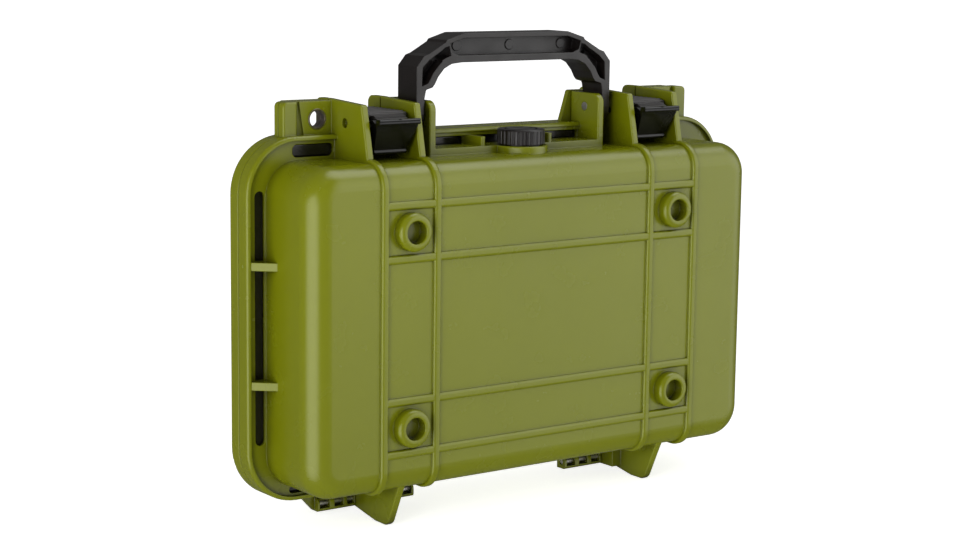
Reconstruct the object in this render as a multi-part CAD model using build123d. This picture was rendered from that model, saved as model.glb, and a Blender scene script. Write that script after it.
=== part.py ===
"""Small moulded hard case for a handgun, standing on its hinge side with the handle on top.

Frame, millimetres: X runs along the width, Y through the thickness (the base is on the -Y side and the lid on
the +Y side), Z is up. The origin is the bottom centre of the closed case, on the surface it stands on.
"""
from build123d import *
import os
from math import cos, radians, sin

# ---- driving dimensions ---------------------------------------------------------------------------------------
CENTRE_Z = 101.5            # middle of the shells above the fin tips
PARTING_Y = 6.0             # plane where base and lid meet
PARTING_GAP = 0.2           # each shell stops this far from the parting plane
FACE_Y = -42.0              # outer face of the base
LID_FACE_Y = 36.0           # outer face of the lid

BODY_HALF_W = 138.8
BODY_HALF_H = 80.8
BODY_CORNER = 17.0
FACE_FILLET = 11.5
WALL = 3.0

RIM_HALF_W = 150.7
RIM_HALF_H = 90.3
RIM_CENTRE_Z = 103.7
RIM_CORNER = 28.0
RIM_LIP = 2.2
RIM_ROUND = 1.7
RIM_DEPTH = 8.7             # parting plane to the front of the rim lip
LID_RIM_DEPTH = 8.4
FLANGE = 6.2                # parting plane to the flange's outer face
LID_FLANGE = 5.4

RIB_WIDTH = 4.2
RIB_HEIGHT = 1.8
RIB_ROUND = 1.3
RIB_REACH = 16.0            # how far the rib belts run back from the face
RIB_OUTER_X = 98.0
RIB_INNER_X = 67.6
RIB_ROWS = (-61.0, -35.0, 35.0, 61.0)

FOOT_X = 82.9
FOOT_DZ = 48.2
FOOT_R = 9.5
FOOT_HOLE_R = 5.6
FOOT_HEIGHT = 6.0

SLOT_X = 142.3              # middle of the tall windows
SLOT_WIDTH = 5.4
SLOT_ROUND = 2.7
TOP_SLOT_Z = (183.5, 189.8)
LOW_SLOT_Z = (16.8, 20.4)
SEAL_IN = (138.5, 22.0, 183.0)    # half width, bottom and top of the seal's inner edge
SEAL_OUT = (146.0, 16.4, 190.4)
SEAL_FRONT = 1.6            # the seal's groove opens at the parting plane and ends here
GROOVE_PLAY = 0.2

EAR_T = 3.9
EAR_TOP = 209.7
EAR_RISE = 1.3              # the ears rise this much from the front to the parting plane
LATCH_OUTER_X = 96.1        # inner faces of the two latch ears
LATCH_INNER_X = 69.5
LATCH_X = (LATCH_OUTER_X + LATCH_INNER_X) / 2

HANDLE_EAR_X = 51.5
HANDLE_EAR_T = 4.0
HANDLE_PIVOT = (-6.0, 202.5)
HANDLE_PIN_R = 2.2
HANDLE_HALF_W = 61.3
HANDLE_LEG_T = 4.7
HANDLE_FRONT = -14.4
HANDLE_BACK = 2.2
HANDLE_TOP = 242.4

LATCH_PIVOT = (-9.5, 200.0)
LATCH_PIN_R = 1.5
LINK_PIVOT = (-23.4, 199.8)
LINK_PIN_R = 1.2
RUNNING = 0.05              # radial play of a part that turns on a pin
LEVER_BOSS_R = 2.6          # lever arm around its pivot pin
LEVER_HALF_W = 11.8
LEVER_FOOT = (-22.4, 185.6)
LEVER_LIP = (-31.6, 202.2)
CLAW_HALF_W = 8.9
CLAW_BARREL_R = 3.4
CLAW_UNDER = 203.0
CLAW_TOP = 205.2
CLAW_END_Y = 12.6
CLAW_PITCH = 3.6            # spacing of the grip ridges
KEEPER_TOP = 202.6

TAB_OUT = 128.2
TAB_ROUND = 2.5
TAB_WALL_X = 120.2
TAB_TOP = 210.2
TAB_FRONT = 2.6
LID_TAB_BACK = 9.4
PADLOCK_X = 108.2
PADLOCK_Z = 201.4
SLEEVE_OUT_R = 5.1
SLEEVE_IN_R = 4.2

VALVE_Y = -18.9
BOSS_R = 13.9
BOSS_TOP = 185.8
KNOB_R = 12.2
KNOB_TOP = 194.0
STEM_R = 4.9

HINGE_Z = 7.4
HINGE_PIN_R = 1.5
KNUCKLE_R = 3.6
FIN_X = 83.3
FIN_T = 4.0

PAD_T = 8.0                 # foam pad under the pocket layer
BASE_FOAM_TOP = 4.0
POCKET_FLOOR_Y = -22.0
LID_FOAM_FRONT = 9.0
FOAM_PLAY = 0.5

TOP_Z = CENTRE_Z + BODY_HALF_H
BOTTOM_Z = CENTRE_Z - BODY_HALF_H
RIM_TOP = RIM_CENTRE_Z + RIM_HALF_H
RIM_BOTTOM = RIM_CENTRE_Z - RIM_HALF_H
BASE_EDGE = PARTING_Y - PARTING_GAP
LID_EDGE = PARTING_Y + PARTING_GAP
SIDES = (-1, 1)

# The dimensions above are measured from a plane inside the case; this moves the origin to the middle of its thickness.
ORIGIN_SHIFT_Y = -((FACE_Y - FOOT_HEIGHT) + (LID_FACE_Y + RIB_HEIGHT)) / 2


# ---- small helpers --------------------------------------------------------------------------------------------
def block(x0, x1, y0, y1, z0, z1):
    """Box between two corners."""
    size = (abs(x1 - x0), abs(y1 - y0), abs(z1 - z0))
    return Pos((x0 + x1) / 2, (y0 + y1) / 2, (z0 + z1) / 2) * Box(*size)


def rounded_prism(half_w, half_h, radius, y0, y1, centre_z=CENTRE_Z):
    """Rounded rectangle, symmetric in X, from y0 to y1."""
    start = Plane(origin=(0, y0, centre_z), x_dir=(1, 0, 0), z_dir=(0, 1, 0))
    return extrude(start * RectangleRounded(2 * half_w, 2 * half_h, radius), amount=y1 - y0)


def plate_x(points, x0, x1):
    """Outline in (y, z) thickened from x0 to x1."""
    outline = make_face(Polyline(*points, close=True))
    return extrude(Plane.YZ.offset(min(x0, x1)) * outline, amount=abs(x1 - x0))


def plate_y(points, y0, y1):
    """Outline in (x, z) thickened from y0 to y1."""
    start = Plane(origin=(0, y1, 0), x_dir=(1, 0, 0), z_dir=(0, -1, 0))
    return extrude(start * make_face(Polyline(*points, close=True)), amount=y1 - y0)


def rod_x(centre, radius, x0, x1):
    """Cylinder along X about a (y, z) centre."""
    start = Plane(origin=(min(x0, x1), centre[0], centre[1]), z_dir=(1, 0, 0))
    return start * Cylinder(radius, abs(x1 - x0), align=(Align.CENTER, Align.CENTER, Align.MIN))


def rod_y(x, z, radius, y0, y1):
    start = Plane(origin=(x, y0, z), z_dir=(0, 1, 0))
    return start * Cylinder(radius, y1 - y0, align=(Align.CENTER, Align.CENTER, Align.MIN))


def rod_z(y, radius, z0, z1):
    """Cylinder along Z on the case's centre plane."""
    return Pos(0, y, z0) * Cylinder(radius, z1 - z0, align=(Align.CENTER, Align.CENTER, Align.MIN))


def round_side_edges(solid, radius):
    """Rounds the outline edges of both X faces of a plate."""
    faces = solid.faces().filter_by(Axis.X).sort_by(Axis.X)
    return fillet(faces[0].edges() + faces[-1].edges(), radius)


def both(solid):
    """The solid and its mirror image across the centre plane."""
    return [solid, mirror(solid, about=Plane.YZ)]


def export(name, *solids):
    """Writes one node; several separate solids become a group."""
    pieces = [piece for solid in solids for piece in solid.solids()]
    pieces = [Pos(0, ORIGIN_SHIFT_Y, 0) * piece for piece in pieces]
    shape = pieces[0] if len(pieces) == 1 else Compound(children=pieces)
    export_step(shape, f"parts/{name}.step")


# ---- shells ---------------------------------------------------------------------------------------------------
def rib_belt(x, depth):
    """Rib that wraps the face, the top and the bottom of a shell; local frame, parting plane at y = 0."""
    belt = block(
        x - RIB_WIDTH / 2, x + RIB_WIDTH / 2,
        -depth - RIB_HEIGHT, -depth + RIB_REACH,
        BOTTOM_Z - RIB_HEIGHT, TOP_Z + RIB_HEIGHT,
    )
    front = belt.edges().filter_by(Axis.X).group_by(Axis.Y)[0]
    belt = fillet(front, FACE_FILLET + RIB_HEIGHT)
    return round_side_edges(belt, RIB_ROUND)


def shell_half(depth, rim_depth, flange):
    """Outer form that both shells share: body, ribs and rim; local frame, face towards -Y."""
    body = rounded_prism(BODY_HALF_W, BODY_HALF_H, BODY_CORNER, -depth, -PARTING_GAP)
    body = fillet(body.edges().group_by(Axis.Y)[0], FACE_FILLET)
    rim = rounded_prism(RIM_HALF_W, RIM_HALF_H, RIM_CORNER, -rim_depth, -PARTING_GAP, RIM_CENTRE_Z)
    rim = fillet(rim.edges().group_by(Axis.Y)[0], RIM_ROUND)
    rim = fillet(rim.edges().group_by(Axis.Y)[-1], 0.5)
    channel_w = RIM_HALF_W - RIM_LIP
    channel_h = RIM_HALF_H - RIM_LIP
    channel = rounded_prism(
        channel_w, channel_h, RIM_CORNER - RIM_LIP, -rim_depth - 1, -PARTING_GAP - flange, RIM_CENTRE_Z
    )
    shape = body + (rim - channel)
    for x in (-RIB_OUTER_X, -RIB_INNER_X, RIB_INNER_X, RIB_OUTER_X):
        shape += rib_belt(x, depth)
    for row in RIB_ROWS:
        z = CENTRE_Z + row
        rib = block(
            -RIB_OUTER_X, RIB_OUTER_X,
            -depth - RIB_HEIGHT + 0.2, -depth + 2,
            z - RIB_WIDTH / 2, z + RIB_WIDTH / 2,
        )
        shape += fillet(rib.edges().filter_by(Axis.X).group_by(Axis.Y)[0], RIB_ROUND)
    return shape


def cavity(depth, mouth):
    """Hollow of a shell, in the local frame of shell_half, open past the parting plane."""
    hollow = rounded_prism(
        BODY_HALF_W - WALL, BODY_HALF_H - WALL, BODY_CORNER - WALL, WALL - depth, -mouth
    )
    return fillet(hollow.edges().group_by(Axis.Y)[0], FACE_FILLET - WALL)


def foot():
    """One moulded ring on the base's face, at the origin of X and Z."""
    ring = rod_y(0, 0, FOOT_R, FACE_Y - FOOT_HEIGHT, FACE_Y + 1)
    ring = fillet(ring.edges().group_by(Axis.Y)[0], 2.4)
    ring -= rod_y(0, 0, FOOT_HOLE_R, FACE_Y - FOOT_HEIGHT - 1, FACE_Y + 2)
    mouth = ring.edges().filter_by(GeomType.CIRCLE).group_by(Axis.Y)[0].sort_by(SortBy.RADIUS)[0]
    return fillet(mouth, 0.7)


def latch_ear(inner_x, outward):
    """Ear beside a latch on the +X side; outward is 1 for the outer ear."""
    points = [
        (-31, TOP_Z - 4),
        (-30, TOP_Z),
        (-24, EAR_TOP),
        (BASE_EDGE, EAR_TOP + EAR_RISE),
        (BASE_EDGE, TOP_Z - 4),
    ]
    ear = plate_x(points, inner_x, inner_x + outward * EAR_T)
    corner = ear.edges().filter_by(Axis.X).filter_by_position(Axis.Y, -24.5, -23.5)
    return round_side_edges(fillet(corner, 1.6), 0.8)


def handle_ear():
    points = [(-17.5, TOP_Z - 4), (-17.5, EAR_TOP), (BASE_EDGE, EAR_TOP), (BASE_EDGE, TOP_Z - 4)]
    ear = plate_x(points, HANDLE_EAR_X, HANDLE_EAR_X + HANDLE_EAR_T)
    corner = ear.edges().filter_by(Axis.X).group_by(Axis.Z)[-1].sort_by(Axis.Y)[0]
    return round_side_edges(fillet(corner, 5), 0.8)


def round_outer_corner(plate):
    """Rounds the top corner of a padlock tab that is furthest from the centre plane."""
    corner = plate.edges().filter_by(Axis.Y).group_by(Axis.Z)[-1].sort_by(Axis.X)[-1]
    return fillet(corner, TAB_ROUND)


def padlock_tab():
    """Framed tab on the +X side of the base."""
    ear_x = LATCH_OUTER_X + EAR_T
    foot_z = RIM_TOP - 5
    tab = block(ear_x - 1, TAB_WALL_X + 1, TAB_FRONT + 1.2, BASE_EDGE, foot_z, TAB_TOP)
    wall = round_outer_corner(block(TAB_WALL_X, TAB_OUT, TAB_FRONT - 1.4, BASE_EDGE, foot_z, TAB_TOP))
    wall = fillet(wall.edges().filter_by(Axis.Y, reverse=True).group_by(Axis.Y)[0], 0.9)
    pad_points = [(ear_x - 1, foot_z), (115.0, foot_z), (118.4, TAB_TOP), (ear_x - 1, TAB_TOP)]
    pad = plate_y(pad_points, TAB_FRONT, BASE_EDGE)
    return tab + wall + pad


def fin():
    """Stand fin and hinge block on the +X side of the base."""
    points = [
        (-37, BOTTOM_Z + 2),
        (-33.5, 15.5),
        (-26.5, 0),
        (-15, 0.1),
        (PARTING_Y, HINGE_Z - KNUCKLE_R),
        (PARTING_Y, 14),
        (0, 22),
    ]
    blade = plate_x(points, FIN_X - FIN_T / 2, FIN_X + FIN_T / 2)
    tip = blade.edges().filter_by(Axis.X).group_by(Axis.Z)[0]
    blade = round_side_edges(fillet(tip, 5.5), 1.0)
    lower = blade.bounding_box().min.Z
    hinge = (PARTING_Y, HINGE_Z)
    inner = FIN_X - FIN_T / 2 - 5.8
    web = block(inner, FIN_X, -6.7, PARTING_Y, HINGE_Z - KNUCKLE_R, BOTTOM_Z + 2)
    barrel = rod_x(hinge, KNUCKLE_R, inner, FIN_X + FIN_T / 2)
    clear = block(inner - 1, FIN_X + FIN_T, BASE_EDGE, PARTING_Y + 20, HINGE_Z, TOP_Z)
    fin_shape = Pos(0, 0, -lower) * blade
    return (fin_shape + web - clear) + barrel


def side_gusset(z):
    """Small web across the rim channel on the +X side."""
    lip = RIM_HALF_W - RIM_LIP / 2
    wall = BODY_HALF_W - 1
    points = [(lip, 2), (lip, -2.2), (lip - 1, -2.4), (wall + 1, -11), (wall, -11), (wall, 2)]
    start = Plane.XY.offset(z - 2)
    return extrude(start * make_face(Polyline(*points, close=True)), amount=4)


def seal_slots():
    """Windows through the base flange beside the body wall, over the seal."""
    slots = []
    for side in SIDES:
        slots.append(window(side * SLOT_X, CENTRE_Z + 4.3, SLOT_WIDTH, 125))
        slots.append(window(side * 117, sum(LOW_SLOT_Z) / 2, 18, LOW_SLOT_Z[1] - LOW_SLOT_Z[0]))
    for x0, x1 in ((100.6, 124), (22.8, 51), (-19.6, 19.6), (-51, -22.8), (-124, -100.6)):
        slots.append(window((x0 + x1) / 2, sum(TOP_SLOT_Z) / 2, x1 - x0, TOP_SLOT_Z[1] - TOP_SLOT_Z[0]))
    return slots


def window(x, z, size_x, size_z):
    """Cutter for one window, from the flange's outer face into the seal's groove."""
    y0 = PARTING_Y - FLANGE - 1
    start = Plane(origin=(x, y0, z), x_dir=(1, 0, 0), z_dir=(0, 1, 0))
    radius = min(SLOT_ROUND, min(size_x, size_z) / 2 - 0.01)
    return extrude(start * RectangleRounded(size_x, size_z, radius), amount=SEAL_FRONT + 0.5 - y0)


def make_base_shell():
    depth = PARTING_Y - FACE_Y
    shape = Pos(0, PARTING_Y, 0) * shell_half(depth, RIM_DEPTH, FLANGE - PARTING_GAP)
    for side in SIDES:
        for row in (-FOOT_DZ, FOOT_DZ):
            shape += Pos(side * FOOT_X, 0, CENTRE_Z + row) * foot()
    ledge = block(-HANDLE_EAR_X - 1, HANDLE_EAR_X + 1, -17.5, 4, TOP_Z - 2, BOSS_TOP)
    brow_front = PARTING_Y - RIM_DEPTH + 0.6
    brow = block(-HANDLE_EAR_X - 1, HANDLE_EAR_X + 1, brow_front, BASE_EDGE, 190, RIM_TOP - 0.8)
    boss = rod_z(VALVE_Y, BOSS_R, TOP_Z - 4, BOSS_TOP)
    boss = fillet(boss.edges().group_by(Axis.Z)[-1], 0.6)
    shape += ledge + brow + boss
    right = [
        latch_ear(LATCH_OUTER_X, 1),
        latch_ear(LATCH_INNER_X, -1),
        handle_ear(),
        padlock_tab(),
        fin(),
        side_gusset(74),
        side_gusset(132.5),
    ]
    gusset = block(19.8, 22.6, -15.9, 4, TOP_Z - 1, 190.4)
    right.append(fillet(gusset.edges().filter_by(Axis.Z).group_by(Axis.Y)[0], 1.0))
    seal_cuts = seal_slots()
    for slot in seal_cuts:
        shape -= slot
    for piece in right:
        for solid in both(piece):
            shape += solid
    shape -= Pos(0, PARTING_Y, 0) * cavity(depth, -1)
    shape -= seal_ring(GROOVE_PLAY, SEAL_FRONT - GROOVE_PLAY, BASE_EDGE + 1)
    shape -= rod_z(VALVE_Y, STEM_R, TOP_Z - 12, BOSS_TOP + 1)
    handle_bore = rod_x(HANDLE_PIVOT, HANDLE_PIN_R, HANDLE_EAR_X - 1, LATCH_INNER_X - 1.6)
    latch_bore = rod_x(LATCH_PIVOT, LATCH_PIN_R, LATCH_INNER_X - EAR_T - 1, LATCH_OUTER_X + EAR_T)
    latch_recess = rod_x(LATCH_PIVOT, 2.4, LATCH_OUTER_X + 1.7, LATCH_OUTER_X + EAR_T + 1)
    hinge_bore = rod_x((PARTING_Y, HINGE_Z), HINGE_PIN_R, FIN_X - 10, FIN_X + 6)
    padlock_bore = rod_y(PADLOCK_X, PADLOCK_Z, SLEEVE_OUT_R, 0, 8)
    for cut in (handle_bore, latch_bore, latch_recess, hinge_bore, padlock_bore):
        for solid in both(cut):
            shape -= solid
    return shape


def lid_ear(inner_x, outward):
    top = EAR_TOP + EAR_RISE
    points = [(LID_EDGE, 186), (LID_EDGE, top), (17.5, top), (17.5, 186)]
    ear = plate_x(points, inner_x, inner_x + outward * EAR_T)
    corner = ear.edges().filter_by(Axis.X).group_by(Axis.Z)[-1].sort_by(Axis.Y)[-1]
    return round_side_edges(fillet(corner, 3.5), 0.8)


def lid_web():
    """Web between the handle and the latch on the +X side of the lid, and the keeper under the latch."""
    points = [(43.5, 188), (50.4, 210.2), (LATCH_INNER_X, 210.2), (LATCH_INNER_X, 188)]
    web = plate_y(points, LID_EDGE, 9.0)
    corner = web.edges().filter_by(Axis.Y).group_by(Axis.Z)[-1].sort_by(Axis.X)[0]
    web = fillet(corner, 1.5)
    keeper = block(LATCH_INNER_X - 1, LATCH_OUTER_X + 1, LID_EDGE, 12.0, 188, KEEPER_TOP)
    relief = block(LATCH_INNER_X - 0.5, LATCH_OUTER_X + 0.5, 8.4, 13, 187, 198.6)
    return web + (keeper - relief)


def lid_tab():
    """The lid's padlock tab on the +X side, framed at its top and outer end."""
    inner = LATCH_OUTER_X + EAR_T - 1
    outer = TAB_OUT - 4.7
    back = PARTING_Y + LID_RIM_DEPTH
    plate = round_outer_corner(block(inner, TAB_OUT, LID_EDGE, LID_TAB_BACK, RIM_TOP - 5, TAB_TOP))
    frame = block(inner, outer, LID_TAB_BACK - 1, back, RIM_TOP - 5, TAB_TOP)
    frame -= block(inner - 1, outer - 2.6, LID_TAB_BACK - 2, back + 1, RIM_TOP - 6, TAB_TOP - 2.6)
    return plate + round_outer_corner(frame)


def comb(x0, x1, windows, ramp):
    """Lid knuckle with windows over the pin, on the +X side; ramp is the length of the tapered outer end."""
    low = HINGE_Z - KNUCKLE_R
    toe = block(x0, x1, PARTING_Y - KNUCKLE_R, PARTING_Y + KNUCKLE_R, low, HINGE_Z)
    toe_edge = toe.edges().filter_by(Axis.X).group_by(Axis.Z)[0].sort_by(Axis.Y)[0]
    body = fillet(toe_edge, 1.5) + rod_x((PARTING_Y, HINGE_Z), KNUCKLE_R, x0, x1)
    body += block(x0, x1, LID_EDGE, PARTING_Y + KNUCKLE_R, HINGE_Z, RIM_BOTTOM + 3)
    if ramp:
        points = [
            (x1 - 0.5, low),
            (x1, low),
            (x1 + ramp, RIM_BOTTOM + 1),
            (x1 + ramp, RIM_BOTTOM + 4),
            (x1 - 0.5, RIM_BOTTOM + 4),
        ]
        body += plate_y(points, LID_EDGE, PARTING_Y + KNUCKLE_R)
    for x, half in windows:
        body -= block(x - half, x + half, PARTING_Y - KNUCKLE_R - 1, PARTING_Y, HINGE_Z - 1.9, HINGE_Z + 2.2)
    return body


def lid_fin():
    """Stand fin on the +X side of the lid, behind the hinge."""
    points = [
        (12, BOTTOM_Z - 4),
        (12, 4.6),
        (25.5, 0),
        (33.3, 14.7),
        (33.8, BOTTOM_Z + 3),
        (14, BOTTOM_Z + 3),
    ]
    blade = plate_x(points, FIN_X - FIN_T / 2, FIN_X + FIN_T / 2)
    blade = fillet(blade.edges().filter_by(Axis.X).group_by(Axis.Z)[0], 5.5)
    return Pos(0, 0, -blade.bounding_box().min.Z) * blade


def make_lid_shell():
    depth = LID_FACE_Y - PARTING_Y
    local = shell_half(depth, LID_RIM_DEPTH, LID_FLANGE - PARTING_GAP)
    shape = Pos(0, PARTING_Y, 0) * mirror(local, about=Plane.XZ)
    right = [
        lid_ear(LATCH_OUTER_X, 1),
        lid_ear(LATCH_INNER_X, -1),
        lid_web(),
        lid_tab(),
        comb(49.8, 75.2, ((54.0, 2.9), (62.5, 2.9), (71.0, 2.9)), 0),
        comb(85.6, 107.4, ((88.3, 2.2), (95.2, 2.7), (103.6, 3.0)), 10),
        lid_fin(),
    ]
    for piece in right:
        for solid in both(piece):
            shape += solid
    hollow = mirror(cavity(depth, 6), about=Plane.XZ)
    mouth = rounded_prism(BODY_HALF_W - 6, BODY_HALF_H - 6, BODY_CORNER - 6, LID_EDGE - 1, PARTING_Y + 7)
    shape -= Pos(0, PARTING_Y, 0) * hollow
    shape -= mouth
    hinge_bore = rod_x((PARTING_Y, HINGE_Z), HINGE_PIN_R + RUNNING, 49, 106.6)
    padlock_bore = rod_y(PADLOCK_X, PADLOCK_Z, SLEEVE_OUT_R, 4, 14)
    for cut in (hinge_bore, padlock_bore):
        for solid in both(cut):
            shape -= solid
    return shape


def seal_outline(edge, play, corner, y0, y1):
    half_w, low, high = edge
    return rounded_prism(half_w + play, (high - low) / 2 + play, corner + play, y0, y1, (low + high) / 2)


def seal_ring(play, y0, y1):
    """Band that follows the rim between its lip and the body wall, wider by play on each side."""
    outer = seal_outline(SEAL_OUT, play, RIM_CORNER - 4.7, y0, y1)
    inner = seal_outline(SEAL_IN, -play, BODY_CORNER + 1, y0 - 1, y1 + 1)
    return outer - inner


def make_seal():
    ring = seal_ring(0, SEAL_FRONT, PARTING_Y + 0.05)
    return fillet(ring.edges().group_by(Axis.Y)[0], 1.5)


# ---- handle ---------------------------------------------------------------------------------------------------
def handle_outline(inset):
    """Right half of the grip's outer edge, moved inwards by inset, as (x, z) points from the top centre."""
    return [
        (0, HANDLE_TOP - inset),
        (33 - inset * 0.2, HANDLE_TOP - inset),
        (43.3 - inset * 0.4, 239.3 - inset),
        (44.2 - inset * 0.5, 238.0 - inset),
        (54.0 - inset * 0.6, 232.6 - inset),
        (57.0 - inset * 0.7, 231.6 - inset),
        (HANDLE_HALF_W - inset, 226.5 - inset * 0.4),
    ]


def arch_points():
    """Right half of the finger opening, as (x, z) points from the leg's inner side to the top centre."""
    return [
        (HANDLE_HALF_W - HANDLE_LEG_T, 210.5),
        (55.8, 214.2),
        (55.4, 215.0),
        (51.8, 216.0),
        (50.4, 217.6),
        (48.4, 221.2),
        (44.8, 225.2),
        (40.2, 227.4),
        (34.0, 228.0),
        (0, 228.0),
    ]


def symmetric_plate(points, y0, y1):
    """Plate whose outline is the given right half and its mirror image."""
    left = [(-x, z) for x, z in reversed(points) if x != 0]
    return plate_y(points + left, y0, y1)


def make_handle():
    leg_foot = HANDLE_PIVOT[1]
    outer = handle_outline(0) + [(HANDLE_HALF_W, leg_foot), (HANDLE_HALF_W - HANDLE_LEG_T, leg_foot)]
    grip = symmetric_plate(outer + arch_points(), HANDLE_FRONT, HANDLE_BACK)
    web_y = (HANDLE_FRONT + HANDLE_BACK) / 2
    lip_z = 231.4
    channel = [
        (0, HANDLE_TOP - 2.4),
        (33, HANDLE_TOP - 2.4),
        (41.5, 237.4),
        (40.2, 233.0),
        (36.0, lip_z),
        (0, lip_z),
    ]
    shoulder = [
        (46.4, 234.0),
        (53.6, 229.8),
        (57.8, 226.0),
        (58.2, 216.6),
        (54.8, 217.8),
        (53.4, 219.6),
        (51.4, 223.2),
        (47.2, 227.6),
        (46.0, 228.6),
    ]
    for y0, y1 in ((HANDLE_FRONT - 1, web_y - 1.5), (web_y + 1.5, HANDLE_BACK + 1)):
        grip -= symmetric_plate(channel, y0, y1)
        for solid in both(plate_y(shoulder, y0, y1)):
            grip -= solid
    gap = [(40.6, 231.4), (41.8, 236.2), (44.6, 235.4), (49.6, 231.6), (47.4, 228.6), (44.0, 230.2)]
    for solid in both(plate_y(gap, HANDLE_FRONT - 1, HANDLE_BACK + 1)):
        grip -= solid
    for x in (-33, 0, 33):
        for y0, y1 in ((web_y - 2.0, web_y - 1.5), (web_y + 1.5, web_y + 2.0)):
            grip += rod_y(x, 236.0, 2.6, y0, y1)
    for side in SIDES:
        x0 = side * (HANDLE_HALF_W - HANDLE_LEG_T)
        grip += rod_x(HANDLE_PIVOT, 8.2, x0, side * HANDLE_HALF_W)
        grip -= rod_x(HANDLE_PIVOT, HANDLE_PIN_R + RUNNING, x0 - 1, x0 + HANDLE_LEG_T + 1)
        grip -= rod_x(HANDLE_PIVOT, HANDLE_PIN_R + RUNNING, x0 - HANDLE_LEG_T - 1, x0 + 1)
    return grip


# ---- latches --------------------------------------------------------------------------------------------------
def make_latch_lever(side):
    """Lever of one latch: tapered front plate, lip and two arms on the pivot pin."""
    foot_y, foot_z = LEVER_FOOT
    lip_y, lip_z = LEVER_LIP
    slant = [(foot_y, foot_z), (foot_y + 2.2, foot_z + 0.8), (lip_y + 2.6, lip_z), (lip_y, lip_z)]
    face = plate_x(slant, -LEVER_HALF_W, LEVER_HALF_W)
    lip = block(-LEVER_HALF_W, LEVER_HALF_W, lip_y - 1.0, lip_y + 2.8, lip_z - 2.0, lip_z + 0.8)
    lip = fillet(lip.edges().filter_by(Axis.X), 0.9)
    lip -= rod_x((lip_y - 1.1, lip_z - 0.5), 0.4, -LEVER_HALF_W - 1, LEVER_HALF_W + 1)
    bead = rod_x((foot_y - 0.2, foot_z + 1.0), 1.2, -LEVER_HALF_W, LEVER_HALF_W)
    arm_points = [
        (lip_y + 3, lip_z - 1.6),
        (lip_y + 6, lip_z + 0.2),
        (LATCH_PIVOT[0], LATCH_PIVOT[1] + 2.4),
        (LATCH_PIVOT[0], LATCH_PIVOT[1] - LEVER_BOSS_R),
        (foot_y + 1.5, foot_z + 1),
    ]
    shape = face + lip + bead
    for x0, x1 in ((-LEVER_HALF_W, -CLAW_HALF_W - 0.4), (CLAW_HALF_W + 0.4, LEVER_HALF_W)):
        shape += plate_x(arm_points, x0, x1)
        shape += rod_x(LATCH_PIVOT, LEVER_BOSS_R, x0, x1)
    taper = [
        (LEVER_HALF_W - 2.9, foot_z - 1),
        (LEVER_HALF_W, lip_z - 3),
        (LEVER_HALF_W + 1, lip_z - 3),
        (LEVER_HALF_W + 1, foot_z - 1),
    ]
    for solid in both(plate_y(taper, foot_y - 12, foot_y + 4)):
        shape -= solid
    notch = block(-0.6, 0.6, lip_y - 2, lip_y + 3, lip_z + 0.3, lip_z + 2)
    shape -= notch
    shape -= rod_x(LATCH_PIVOT, LATCH_PIN_R + RUNNING, -20, 20)
    shape -= rod_x(LINK_PIVOT, LINK_PIN_R, -20, 20)
    return Pos(side * LATCH_X, 0, 0) * shape


def make_latch_claw(side):
    """Ridged top plate that reaches over the lid's keeper."""
    barrel = rod_x(LINK_PIVOT, CLAW_BARREL_R, -CLAW_HALF_W, CLAW_HALF_W)
    neck = block(-CLAW_HALF_W, CLAW_HALF_W, LINK_PIVOT[0], -14, CLAW_UNDER - 1.2, CLAW_UNDER + 1)
    start_y = LINK_PIVOT[0] + CLAW_BARREL_R
    plate = block(-LEVER_HALF_W, LEVER_HALF_W, start_y, CLAW_END_Y, CLAW_UNDER, CLAW_TOP)
    plate = fillet(plate.edges().filter_by(Axis.X).group_by(Axis.Z)[-1], 0.8)
    link_y, link_z = LINK_PIVOT
    shoulder = [
        (link_y - 1.2, link_z),
        (link_y - 1.2, link_z + 3.1),
        (start_y, CLAW_TOP - 1),
        (start_y, link_z),
    ]
    shape = barrel + neck + plate + plate_x(shoulder, -CLAW_HALF_W, CLAW_HALF_W)
    shape += rod_x((link_y + 1.6, link_z + 3.8), 0.6, -CLAW_HALF_W, CLAW_HALF_W)
    for i in range(8):
        y = LINK_PIVOT[0] + 6 + CLAW_PITCH * i
        ridge = rod_x((y, CLAW_TOP - 0.3), 1.0, -LEVER_HALF_W + 0.8, LEVER_HALF_W - 0.8)
        shape += ridge
    shape -= rod_x(LINK_PIVOT, LINK_PIN_R + RUNNING, -20, 20)
    return Pos(side * LATCH_X, 0, 0) * shape


# ---- valve ----------------------------------------------------------------------------------------------------
def make_valve_body():
    inside = TOP_Z - WALL
    flange = rod_z(VALVE_Y, 10.5, BOSS_TOP, BOSS_TOP + 2.4)
    stem = rod_z(VALVE_Y, STEM_R, inside - 9.1, BOSS_TOP + 0.1)
    post = rod_z(VALVE_Y, 4.0, BOSS_TOP + 2, KNOB_TOP - 2.6)
    groove = rod_z(VALVE_Y, 8.2, BOSS_TOP - 1, BOSS_TOP + 1.7)
    groove -= rod_z(VALVE_Y, 6.4, BOSS_TOP - 2, BOSS_TOP + 2)
    vent = rod_z(VALVE_Y, 1.5, inside - 12, KNOB_TOP)
    seat = rod_z(VALVE_Y, 3.4, inside - 12, inside - 6)
    return flange + stem + post - groove - vent - seat


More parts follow.
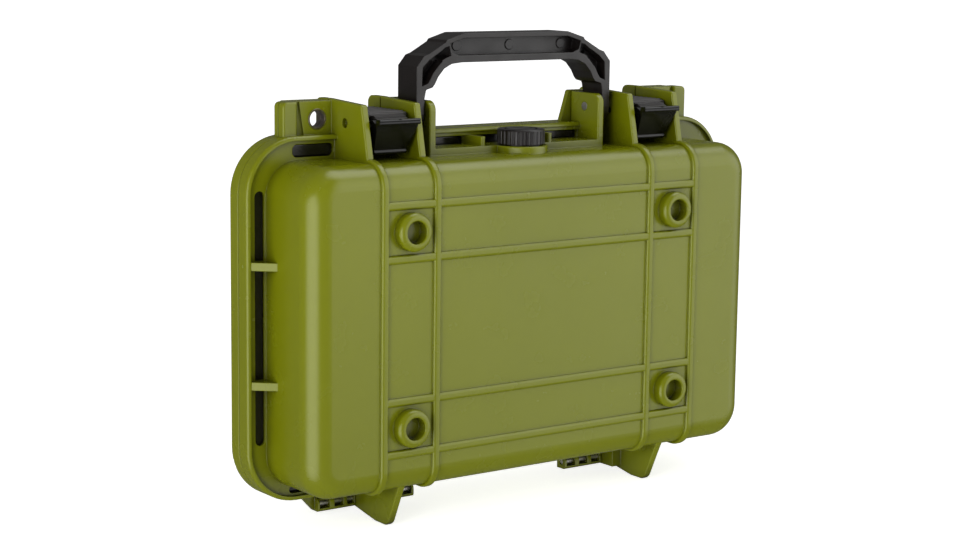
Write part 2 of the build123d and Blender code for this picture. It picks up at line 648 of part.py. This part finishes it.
def make_valve_knob():
    knob = rod_z(VALVE_Y, KNOB_R, BOSS_TOP + 0.6, KNOB_TOP)
    knob = fillet(knob.edges().group_by(Axis.Z)[-1], 1.0)
    flutes = 30
    for i in range(flutes):
        angle = radians(360 / flutes * i)
        x = (KNOB_R + 0.25) * cos(angle)
        y = (KNOB_R + 0.25) * sin(angle)
        knob -= Pos(x, y, 0) * rod_z(VALVE_Y, 0.75, BOSS_TOP, KNOB_TOP - 0.9)
    knob -= rod_z(VALVE_Y, 10.8, BOSS_TOP, BOSS_TOP + 2.8)
    knob -= rod_z(VALVE_Y, 4.0 + RUNNING, BOSS_TOP, KNOB_TOP - 2.3)
    dish = rod_z(VALVE_Y, 8.6, KNOB_TOP - 0.7, KNOB_TOP + 1)
    dish -= rod_z(VALVE_Y, 7.4, KNOB_TOP - 2, KNOB_TOP + 2)
    coin_slot = block(-7.0, 7.0, VALVE_Y - 1, VALVE_Y + 1, KNOB_TOP - 1.2, KNOB_TOP + 1)
    return knob - dish - coin_slot


def make_valve_nut():
    hexagon = Pos(0, VALVE_Y, TOP_Z - WALL - 4.6) * extrude(RegularPolygon(8.4, 6), amount=4.4)
    return hexagon - rod_z(VALVE_Y, STEM_R + 0.02, 170, 190)


# ---- foam -----------------------------------------------------------------------------------------------------
def foam_block(mouth, y0, y1, back_y):
    """Foam cut to a shell's hollow; back_y is the face against the shell."""
    half_w = BODY_HALF_W - mouth - FOAM_PLAY
    half_h = BODY_HALF_H - mouth - FOAM_PLAY
    foam = rounded_prism(half_w, half_h, BODY_CORNER - mouth - FOAM_PLAY, y0, y1)
    ends = foam.edges().group_by(Axis.Y)
    edge = ends[0] if back_y == y0 else ends[-1]
    return fillet(edge, FACE_FILLET - WALL)


def pistol_pocket():
    """Cut-out in the shape of a handgun: slide along the top and a raked grip."""
    slide = [(86, 116), (98, 148), (-88, 148), (-92, 116)]
    trigger = [(18, 112), (20, 96), (44, 96)]
    grip = [(60, 42), (102, 50)]
    pocket = plate_y(slide + trigger + grip, POCKET_FLOOR_Y, BASE_FOAM_TOP + 1)
    return fillet(pocket.edges().filter_by(Axis.Y), 5)


def make_base_foam():
    back = FACE_Y + WALL + 0.2
    foam = foam_block(WALL, back, BASE_FOAM_TOP, back)
    foam &= block(-200, 200, back + PAD_T, 50, 0, 300)
    magazine = block(-78, -46, POCKET_FLOOR_Y, BASE_FOAM_TOP + 1, 40, 96)
    foam -= pistol_pocket()
    foam -= fillet(magazine.edges().filter_by(Axis.Y), 1.0)
    foam -= block(-15, 15, VALVE_Y - 15, 20, 167, 300)
    return foam


def make_base_foam_pad():
    back = FACE_Y + WALL + 0.2
    pad = foam_block(WALL, back, BASE_FOAM_TOP, back)
    return pad & block(-200, 200, -60, back + PAD_T, 0, 300)


def make_lid_foam():
    back = LID_FACE_Y - WALL - 0.2
    return foam_block(6, LID_FOAM_FRONT, back, back)


# ---- nodes ----------------------------------------------------------------------------------------------------
os.makedirs("parts", exist_ok=True)

export("base_shell", make_base_shell())
export("lid_shell", make_lid_shell())
export("seal", make_seal())
export("handle", make_handle())
handle_pin = rod_x(HANDLE_PIVOT, HANDLE_PIN_R, HANDLE_EAR_X - 0.2, LATCH_INNER_X - 1.6)
export("handle_pins", *both(handle_pin))
for label, side in (("left", -1), ("right", 1)):
    export(f"latch_lever_{label}", make_latch_lever(side))
    export(f"latch_claw_{label}", make_latch_claw(side))
    link = rod_x(LINK_PIVOT, LINK_PIN_R, -LEVER_HALF_W + 0.2, LEVER_HALF_W - 0.2)
    export(f"latch_link_pin_{label}", Pos(side * LATCH_X, 0, 0) * link)
pivot = rod_x(LATCH_PIVOT, LATCH_PIN_R, LATCH_INNER_X - EAR_T + 0.4, LATCH_OUTER_X + 1.9)
export("latch_pivot_pins", *both(pivot))
export("hinge_pins", *both(rod_x((PARTING_Y, HINGE_Z), HINGE_PIN_R, 50.6, 106.0)))
for label, y0, y1 in (("base", TAB_FRONT - 0.1, BASE_EDGE), ("lid", LID_EDGE, LID_TAB_BACK + 0.1)):
    sleeve = rod_y(PADLOCK_X, PADLOCK_Z, SLEEVE_OUT_R, y0, y1)
    sleeve -= rod_y(PADLOCK_X, PADLOCK_Z, SLEEVE_IN_R, y0 - 1, y1 + 1)
    export(f"padlock_sleeves_{label}", *both(sleeve))
export("valve_body", make_valve_body())
export("valve_knob", make_valve_knob())
export("valve_nut", make_valve_nut())
export("valve_o_ring", Pos(0, VALVE_Y, BOSS_TOP + 0.85) * Torus(7.3, 0.83))
export("valve_membrane", rod_z(VALVE_Y, 3.35, TOP_Z - WALL - 6.9, TOP_Z - WALL - 6.1))
export("base_foam", make_base_foam())
export("base_foam_pad", make_base_foam_pad())
export("lid_foam", make_lid_foam())
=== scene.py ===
import math

import bmesh
import bpy
from mathutils import Matrix, Vector, noise


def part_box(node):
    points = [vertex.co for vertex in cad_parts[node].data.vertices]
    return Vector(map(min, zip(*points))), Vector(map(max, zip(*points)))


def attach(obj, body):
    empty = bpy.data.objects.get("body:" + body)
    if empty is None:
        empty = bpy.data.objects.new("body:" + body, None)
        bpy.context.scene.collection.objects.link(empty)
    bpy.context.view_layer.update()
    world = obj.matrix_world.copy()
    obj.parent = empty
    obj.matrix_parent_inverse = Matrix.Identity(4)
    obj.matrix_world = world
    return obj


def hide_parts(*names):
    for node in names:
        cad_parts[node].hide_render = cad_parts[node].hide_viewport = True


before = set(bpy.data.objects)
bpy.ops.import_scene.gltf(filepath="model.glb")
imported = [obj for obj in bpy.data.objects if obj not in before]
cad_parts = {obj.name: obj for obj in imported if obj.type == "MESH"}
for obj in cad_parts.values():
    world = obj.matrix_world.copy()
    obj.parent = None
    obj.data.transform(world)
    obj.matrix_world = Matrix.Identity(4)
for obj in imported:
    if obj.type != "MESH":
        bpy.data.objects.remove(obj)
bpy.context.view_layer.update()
scene = bpy.context.scene
MM = 0.001
GRAIN = 0.06 * MM           # height of the moulded texture


# ---- small helpers -------------------------------------------------------------------------------
def srgb(red, green, blue):
    """Linear colour from 0-255 display values."""
    out = []
    for value in (red, green, blue):
        v = value / 255
        out.append(v / 12.92 if v <= 0.04045 else ((v + 0.055) / 1.055) ** 2.4)
    return (*out, 1.0)


class Nodes:
    """Short names for building one material's node tree."""

    def __init__(self, name):
        self.material = bpy.data.materials.new(name)
        self.material.use_nodes = True
        self.tree = self.material.node_tree
        self.shader = self.tree.nodes["Principled BSDF"]
        coords = self.tree.nodes.new("ShaderNodeTexCoord")
        self.place = coords.outputs["Object"]

    def link(self, output, target):
        self.tree.links.new(output, target)

    def noise(self, scale, detail=3.0, roughness=0.5, vector=None):
        node = self.tree.nodes.new("ShaderNodeTexNoise")
        node.inputs["Scale"].default_value = scale
        node.inputs["Detail"].default_value = detail
        node.inputs["Roughness"].default_value = roughness
        self.link(vector or self.place, node.inputs["Vector"])
        return node.outputs["Fac"]

    def cells(self, scale):
        node = self.tree.nodes.new("ShaderNodeTexVoronoi")
        node.inputs["Scale"].default_value = scale
        self.link(self.place, node.inputs["Vector"])
        return node.outputs["Distance"]

    def stretched(self, x, y, z):
        """Coordinates for a pattern that runs long along the axes with a small factor."""
        node = self.tree.nodes.new("ShaderNodeMapping")
        node.inputs["Scale"].default_value = (x, y, z)
        self.link(self.place, node.inputs["Vector"])
        return node.outputs["Vector"]

    def ramp(self, value, *stops):
        """Colour or grey levels at positions along a 0-1 value."""
        node = self.tree.nodes.new("ShaderNodeValToRGB")
        elements = node.color_ramp.elements
        while len(elements) < len(stops):
            elements.new(0.5)
        for element, (position, colour) in zip(elements, stops):
            element.position = position
            element.color = colour if hasattr(colour, "__len__") else (colour, colour, colour, 1)
        self.link(value, node.inputs["Fac"])
        return node.outputs["Color"]

    def feed(self, socket, value):
        """Links a socket to another node's output, or sets it."""
        if isinstance(value, bpy.types.NodeSocket):
            self.link(value, socket)
        else:
            socket.default_value = value

    def mix(self, factor, a, b):
        """Colour a where the factor is 0 and b where it is 1."""
        node = self.tree.nodes.new("ShaderNodeMix")
        node.data_type = "RGBA"
        for socket, value in ((node.inputs[0], factor), (node.inputs[6], a), (node.inputs[7], b)):
            self.feed(socket, value)
        return node.outputs[2]

    def math(self, operation, a, b=0.0):
        node = self.tree.nodes.new("ShaderNodeMath")
        node.operation = operation
        for socket, value in zip(node.inputs, (a, b)):
            self.feed(socket, value)
        return node.outputs[0]

    def bump(self, height, distance, strength=1.0, below=None):
        node = self.tree.nodes.new("ShaderNodeBump")
        node.inputs["Distance"].default_value = distance
        node.inputs["Strength"].default_value = strength
        self.link(height, node.inputs["Height"])
        if below is not None:
            self.link(below, node.inputs["Normal"])
        return node.outputs["Normal"]

    def soft_edges(self, radius):
        """Normals that round sharp edges to the radius."""
        node = self.tree.nodes.new("ShaderNodeBevel")
        node.samples = 6
        node.inputs["Radius"].default_value = radius
        return node.outputs["Normal"]

    def openness(self, distance):
        """1 on open ground, towards 0 in a crevice narrower than the distance."""
        node = self.tree.nodes.new("ShaderNodeAmbientOcclusion")
        node.samples = 8
        node.inputs["Distance"].default_value = distance
        return node.outputs["AO"]

    def set(self, **values):
        """Feeds the shader's sockets, named with underscores for spaces."""
        for name, value in values.items():
            self.feed(self.shader.inputs[name.replace("_", " ")], value)


def paint(material, *names):
    for name in names:
        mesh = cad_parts[name].data
        mesh.materials.clear()
        mesh.materials.append(material)


# ---- materials -----------------------------------------------------------------------------------
def olive_plastic():
    m = Nodes("olive_shell")
    drift = m.noise(9, 2)
    fine = m.noise(160, 3)
    colour = m.ramp(drift, (0.3, srgb(119, 125, 7)), (0.7, srgb(124, 130, 10)))
    colour = m.mix(m.ramp(fine, (0.42, 0.0), (0.75, 0.10)), colour, srgb(112, 116, 8))
    scuff = m.noise(26, 6, 0.75, m.stretched(1, 1, 0.35))
    colour = m.mix(m.ramp(scuff, (0.62, 0.0), (0.78, 0.05)), colour, srgb(142, 145, 50))
    # Painted shade: the colour turns dark olive in crevices, recesses and under parts, where the occlusion
    # test finds nearby surfaces
    painted_crevice_shade = m.ramp(m.openness(16 * MM), (0.15, 1.0), (0.75, 0.0))
    colour = m.mix(painted_crevice_shade, colour, srgb(66, 68, 2))
    grain = m.cells(1700)
    haze = m.noise(55, 4)
    m.set(
        Base_Color=colour,
        Roughness=m.ramp(haze, (0.3, 0.22), (0.7, 0.29)),
        Specular_IOR_Level=0.5,
        IOR=1.5,
        Normal=m.bump(grain, GRAIN, 0.35, m.soft_edges(0.6 * MM)),
    )
    return m.material


def black_plastic():
    m = Nodes("black_nylon")
    drift = m.noise(30, 3)
    colour = m.ramp(drift, (0.3, srgb(17, 13, 12)), (0.7, srgb(26, 21, 19)))
    streak = m.noise(60, 5, 0.7, m.stretched(0.5, 1, 1))
    colour = m.mix(m.ramp(streak, (0.6, 0.0), (0.8, 0.3)), colour, srgb(48, 42, 39))
    grain = m.cells(1500)
    m.set(
        Base_Color=colour,
        Roughness=m.ramp(m.noise(90, 4), (0.3, 0.28), (0.7, 0.42)),
        Specular_IOR_Level=0.5,
        IOR=1.53,
        Normal=m.bump(grain, GRAIN, 0.4, m.soft_edges(0.5 * MM)),
    )
    return m.material


def gloss_black():
    m = Nodes("black_latch")
    drift = m.noise(40, 3)
    colour = m.ramp(drift, (0.3, srgb(5, 5, 4)), (0.7, srgb(9, 9, 8)))
    rub = m.noise(140, 4, 0.6, m.stretched(1, 0.3, 0.3))
    colour = m.mix(m.ramp(rub, (0.58, 0.0), (0.75, 0.3)), colour, srgb(24, 23, 22))
    m.set(
        Base_Color=colour,
        Roughness=m.ramp(m.noise(70, 4), (0.3, 0.16), (0.7, 0.28)),
        Specular_IOR_Level=0.35,
        IOR=1.53,
        Normal=m.bump(m.noise(900, 2), 0.04 * MM, 0.3, m.soft_edges(0.5 * MM)),
    )
    return m.material


def satin_black():
    m = Nodes("black_claw")
    colour = m.ramp(m.noise(60, 4), (0.3, srgb(30, 27, 26)), (0.7, srgb(44, 41, 39)))
    m.set(
        Base_Color=colour,
        Roughness=m.ramp(m.noise(110, 4), (0.3, 0.40), (0.7, 0.52)),
        IOR=1.53,
        Normal=m.bump(m.cells(1500), GRAIN, 0.4, m.soft_edges(0.3 * MM)),
    )
    return m.material


def steel(name, low, high, roughness):
    m = Nodes(name)
    lines = m.noise(1800, 3, 0.6, m.stretched(1, 0.15, 0.15))
    m.set(
        Base_Color=m.ramp(m.noise(400, 4), (0.3, low), (0.7, high)),
        Metallic=1.0,
        Roughness=roughness,
        Normal=m.bump(lines, 0.03 * MM, 0.4, m.soft_edges(0.3 * MM)),
    )
    return m.material


def rubber(name, level, shine):
    m = Nodes(name)
    paler = [v + 12 for v in level]
    m.set(
        Base_Color=m.ramp(m.noise(200, 3), (0.3, srgb(*level)), (0.7, srgb(*paler))),
        Roughness=m.ramp(m.noise(300, 3), (0.3, shine), (0.7, shine + 0.14)),
        Normal=m.bump(m.noise(1200, 2), 0.05 * MM, 0.4, m.soft_edges(0.3 * MM)),
    )
    return m.material


def membrane():
    m = Nodes("vent_membrane")
    weave = m.cells(4200)
    m.set(
        Base_Color=m.ramp(weave, (0.1, srgb(205, 203, 196)), (0.6, srgb(236, 235, 230))),
        Roughness=0.9,
        Normal=m.bump(weave, 0.1 * MM, 0.5),
    )
    return m.material


def foam_material():
    m = Nodes("open_cell_foam")
    pores = m.cells(1100)
    big = m.cells(420)
    colour = m.ramp(pores, (0.05, srgb(24, 24, 26)), (0.5, srgb(58, 58, 62)))
    colour = m.mix(m.ramp(m.noise(14, 3), (0.35, 0.0), (0.7, 0.35)), colour, srgb(42, 43, 48))
    height = m.math("ADD", pores, m.math("MULTIPLY", big, 0.6))
    m.set(
        Base_Color=colour,
        Roughness=0.95,
        Sheen_Weight=0.35,
        Sheen_Roughness=0.6,
        Specular_IOR_Level=0.2,
        Normal=m.bump(height, 0.7 * MM, 0.8),
    )
    return m.material


OLIVE = olive_plastic()
BLACK = black_plastic()
LATCH = gloss_black()
CLAW = satin_black()
PIN = steel("pin_steel", srgb(190, 188, 184), srgb(232, 230, 226), 0.5)
DARK_PIN = steel("blackened_steel", srgb(30, 28, 25), srgb(44, 42, 38), 0.5)
SLEEVE = steel("sleeve_steel", srgb(128, 118, 106), srgb(170, 160, 148), 0.34)
SEAL = rubber("seal_rubber", (9, 7, 5), 0.12)
O_RING = rubber("o_ring_rubber", (12, 12, 12), 0.35)
FOAM = foam_material()

paint(OLIVE, "base_shell", "lid_shell")
paint(BLACK, "handle", "valve_knob", "valve_body", "valve_nut")
paint(LATCH, "latch_lever_left", "latch_lever_right")
paint(CLAW, "latch_claw_left", "latch_claw_right")
paint(PIN, "handle_pins", "hinge_pins", "latch_link_pin_left", "latch_link_pin_right")
paint(DARK_PIN, "latch_pivot_pins")
paint(SLEEVE, "padlock_sleeves_base", "padlock_sleeves_lid")
paint(SEAL, "seal")
paint(O_RING, "valve_o_ring")
paint(membrane(), "valve_membrane")
paint(FOAM, "base_foam", "base_foam_pad", "lid_foam")

# ---- foam lining ---------------------------------------------------------------------------------
def add_foam(name, mesh, body, node):
    """A foam piece that rides on a body and stands for a CAD node."""
    mesh.name = name
    mesh.materials.clear()
    mesh.materials.append(FOAM)
    for polygon in mesh.polygons:
        polygon.use_smooth = True
    piece = bpy.data.objects.new(name, mesh)
    scene.collection.objects.link(piece)
    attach(piece, body)
    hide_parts(node)


def cut_foam(name, node, voxel, body):
    """A CAD foam block with its edges rounded by the cut and its faces slightly uneven."""
    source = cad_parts[node]
    mesh = source.data.copy()
    mesh.transform(source.matrix_world)
    draft = bpy.data.objects.new(name + "_draft", mesh)
    scene.collection.objects.link(draft)
    remesh = draft.modifiers.new("remesh", "REMESH")
    remesh.mode = "VOXEL"
    remesh.voxel_size = voxel
    smooth = draft.modifiers.new("smooth", "SMOOTH")
    smooth.factor = 0.5
    smooth.iterations = 3
    graph = bpy.context.evaluated_depsgraph_get()
    result = bpy.data.meshes.new_from_object(draft.evaluated_get(graph))
    bpy.data.objects.remove(draft)
    for vertex in result.vertices:
        vertex.co += vertex.normal * FOAM_WAVE * (noise.noise(vertex.co * 60) - 0.6)
    add_foam(name, result, body, node)


def crate_foam(name, node, body):
    """Convoluted lid foam: rows of round peaks that face the base, within the CAD block."""
    low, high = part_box(node)
    half_w = (high[0] - low[0]) / 2 - CRATE_INSET
    half_h = (high[2] - low[2]) / 2 - CRATE_INSET
    middle = Vector(((low[0] + high[0]) / 2, 0, (low[2] + high[2]) / 2))
    across = round(half_w / PEAK_PITCH * 2) * PEAK_STEPS
    upward = round(half_h / PEAK_PITCH * 2) * PEAK_STEPS
    build = bmesh.new()

    def grid(height):
        """Vertices over the block's outline; height gives y from the grid place and the point."""
        rows = []
        for j in range(upward + 1):
            v = 2 * j / upward - 1
            row = []
            for i in range(across + 1):
                u = 2 * i / across - 1
                x, z = round_corners(u * half_w, v * half_h, half_w, half_h, CRATE_CORNER)
                edge = min(half_w - abs(u) * half_w, half_h - abs(v) * half_h)
                row.append(build.verts.new(middle + Vector((x, height(i, j, x, z, edge), z))))
            rows.append(row)
        return rows

    def peaks(i, j, x, z, edge):
        wave = math.cos(math.pi * i / PEAK_STEPS) * math.cos(math.pi * j / PEAK_STEPS)
        depth = PEAK_DEPTH * (0.5 - 0.5 * wave)
        wobble = noise.noise(Vector((x * 80, z * 80, 0))) * CRATE_WOBBLE
        hem = max(0.0, 1 - edge / CRATE_HEM) ** 2 * CRATE_HEM
        return low[1] + CRATE_INSET + depth + abs(wobble) + hem

    def flat(*_):
        return high[1] - CRATE_INSET

    front = grid(peaks)
    rear = grid(flat)
    for j in range(upward):
        for i in range(across):
            build.faces.new((front[j][i], front[j][i + 1], front[j + 1][i + 1], front[j + 1][i]))
            build.faces.new((rear[j][i], rear[j + 1][i], rear[j + 1][i + 1], rear[j][i + 1]))
    loop_front = border(front)
    loop_rear = border(rear)
    for k, start in enumerate(loop_front):
        n = (k + 1) % len(loop_front)
        build.faces.new((start, loop_rear[k], loop_rear[n], loop_front[n]))
    bmesh.ops.recalc_face_normals(build, faces=build.faces)
    mesh = bpy.data.meshes.new(name)
    build.to_mesh(mesh)
    build.free()
    add_foam(name, mesh, body, node)


def round_corners(x, z, half_w, half_h, radius):
    """Pulls the corners of a rectangle in to the given radius, moving only the points near them."""
    core_w, core_h = half_w - radius, half_h - radius
    dx, dz = abs(x) - core_w, abs(z) - core_h
    if dx <= 0 or dz <= 0:
        return x, z
    reach = max(dx, dz)
    length = math.hypot(dx, dz)
    dx, dz = dx / length * reach, dz / length * reach
    return math.copysign(core_w + dx, x), math.copysign(core_h + dz, z)


def border(grid):
    """The outer loop of a grid of vertices, in order."""
    bottom = grid[0][:-1]
    right_side = [row[-1] for row in grid[:-1]]
    top = list(reversed(grid[-1]))[:-1]
    left_side = [row[0] for row in reversed(grid)][:-1]
    return bottom + right_side + top + left_side


FOAM_WAVE = 0.5 * MM        # how uneven the cut faces are
PEAK_PITCH = 19 * MM
PEAK_STEPS = 6              # grid steps from a peak to the next valley
PEAK_DEPTH = 9 * MM
CRATE_CORNER = 10 * MM
CRATE_HEM = 2.5 * MM        # the peaks fall away this close to the outline
CRATE_INSET = 0.4 * MM
CRATE_WOBBLE = 0.4 * MM

cut_foam("pocket_foam_cut", "base_foam", 2.4 * MM, "base")
cut_foam("backing_pad_cut", "base_foam_pad", 2.6 * MM, "base")
crate_foam("lid_foam_convoluted", "lid_foam", "lid")

# ---- floor, light and camera ---------------------------------------------------------------------
FLOOR_REACH = 30.0
FLOOR_FILL = 0.32           # light that the floor gives back to the case
FLOOR_LIFT = 0.46           # extra whiteness of the floor itself
MIDDLE = Vector((0, 0, 0.11))


def floor_plane():
    mesh = bpy.data.meshes.new("floor")
    corners = [(x * FLOOR_REACH, y * FLOOR_REACH, 0.0) for x, y in ((-1, -1), (1, -1), (1, 1), (-1, 1))]
    mesh.from_pydata(corners, [], [(0, 1, 2, 3)])
    mesh.materials.append(floor_paper())
    piece = bpy.data.objects.new("floor", mesh)
    scene.collection.objects.link(piece)
    return piece


def floor_paper():
    """White paper that the case doesn't mirror, so that its sides mirror the soft boxes instead."""
    m = Nodes("floor_white")
    rays = m.tree.nodes.new("ShaderNodeLightPath")
    lift = m.math("MULTIPLY", rays.outputs["Is Camera Ray"], FLOOR_LIFT)
    m.set(
        Base_Color=m.ramp(m.noise(3, 2), (0.0, srgb(252, 252, 252)), (1.0, srgb(255, 255, 255))),
        Roughness=0.9,
        Specular_IOR_Level=0.1,
        Emission_Color=(1.0, 1.0, 1.0, 1.0),
        Emission_Strength=m.math("ADD", FLOOR_FILL, lift),
    )
    see_through = m.tree.nodes.new("ShaderNodeBsdfTransparent")
    paper = m.tree.nodes.new("ShaderNodeMixShader")
    m.link(rays.outputs["Is Glossy Ray"], paper.inputs[0])
    m.link(m.shader.outputs[0], paper.inputs[1])
    m.link(see_through.outputs[0], paper.inputs[2])
    m.link(paper.outputs[0], m.tree.nodes["Material Output"].inputs["Surface"])
    return m.material


def area_light(name, place, size, power):
    """Soft light that points at the middle of the case and isn't mirrored in it."""
    data = bpy.data.lights.new(name, "AREA")
    data.shape = "RECTANGLE"
    data.size, data.size_y = size
    data.energy = power
    light = bpy.data.objects.new(name, data)
    scene.collection.objects.link(light)
    light.location = place
    light.visible_glossy = False
    light.rotation_mode = "QUATERNION"
    light.rotation_quaternion = (MIDDLE - Vector(place)).to_track_quat("-Z", "Y")


floor_plane()
area_light("front_right", (0.80, -1.25, 0.20), (1.3, 1.1), 3)
area_light("front_left", (-1.30, -0.75, 0.25), (0.5, 1.1), 11.5)
area_light("top", (0.10, -0.45, 1.35), (1.6, 0.5), 2.5)

# What the case mirrors: three soft boxes. Each has a direction, the angles in degrees where it is
# full and where it ends, and a brightness.
SOFT_BOXES = (
    ((0.78, -0.62, 0.25), 6, 44, 2.05),
    ((-0.88, -0.40, -0.19), 14, 38, 2.9),
    ((0.40, -0.10, 0.90), 12, 28, 2.9),
)
STUDIO_DARK = 0.12
STUDIO_FILL = 0.36
WHITE = (1, 1, 1, 1)

world = bpy.data.worlds.new("studio")
scene.world = world
world.use_nodes = True
studio = world.node_tree


def studio_node(kind, *inputs):
    """New world node with its first inputs linked or set."""
    node = studio.nodes.new(kind)
    for socket, value in zip(node.inputs, inputs):
        if isinstance(value, bpy.types.NodeSocket):
            studio.links.new(value, socket)
        else:
            socket.default_value = value
    return node


direction = studio_node("ShaderNodeTexCoord").outputs["Generated"]
mirrored = STUDIO_DARK
for towards, full, zero, brightness in SOFT_BOXES:
    facing = studio_node("ShaderNodeVectorMath", direction, Vector(towards).normalized())
    facing.operation = "DOT_PRODUCT"
    edges = (math.cos(math.radians(zero)), math.cos(math.radians(full)))
    box = studio_node("ShaderNodeMapRange", facing.outputs["Value"], *edges, 0.0, brightness)
    box.interpolation_type = "SMOOTHSTEP"
    total = studio_node("ShaderNodeMath", mirrored, box.outputs["Result"])
    mirrored = total.outputs[0]
rays_seen = studio_node("ShaderNodeLightPath").outputs
fill = studio_node("ShaderNodeBackground", WHITE, STUDIO_FILL)
boxes = studio_node("ShaderNodeBackground", WHITE, mirrored)
backdrop = studio_node("ShaderNodeBackground", WHITE, 1.0)
lit = studio_node("ShaderNodeMixShader", rays_seen["Is Glossy Ray"], fill.outputs[0], boxes.outputs[0])
shown = studio_node("ShaderNodeMixShader", rays_seen["Is Camera Ray"], lit.outputs[0], backdrop.outputs[0])
studio.links.new(shown.outputs[0], studio.nodes["World Output"].inputs["Surface"])

camera_data = bpy.data.cameras.new("camera")
camera = bpy.data.objects.new("camera", camera_data)
scene.collection.objects.link(camera)
scene.camera = camera
camera_data.sensor_width = 36.0
camera_data.lens = 78.32
camera_data.clip_start = 0.05
camera_data.clip_end = 100.0
place = Vector((-0.6522, -0.8761, 0.2919))
forward = Vector((0.5844, 0.7958, -0.1587)).normalized()
up = Vector((0.8072, -0.5901, 0.0130)).normalized().cross(forward).normalized()
right = forward.cross(up).normalized()
turn = Matrix((right, up, -forward)).transposed()
camera.matrix_world = Matrix.Translation(place) @ turn.to_4x4()

scene.view_settings.view_transform = "Standard"
scene.view_settings.look = "None"
scene.view_settings.exposure = 0.0
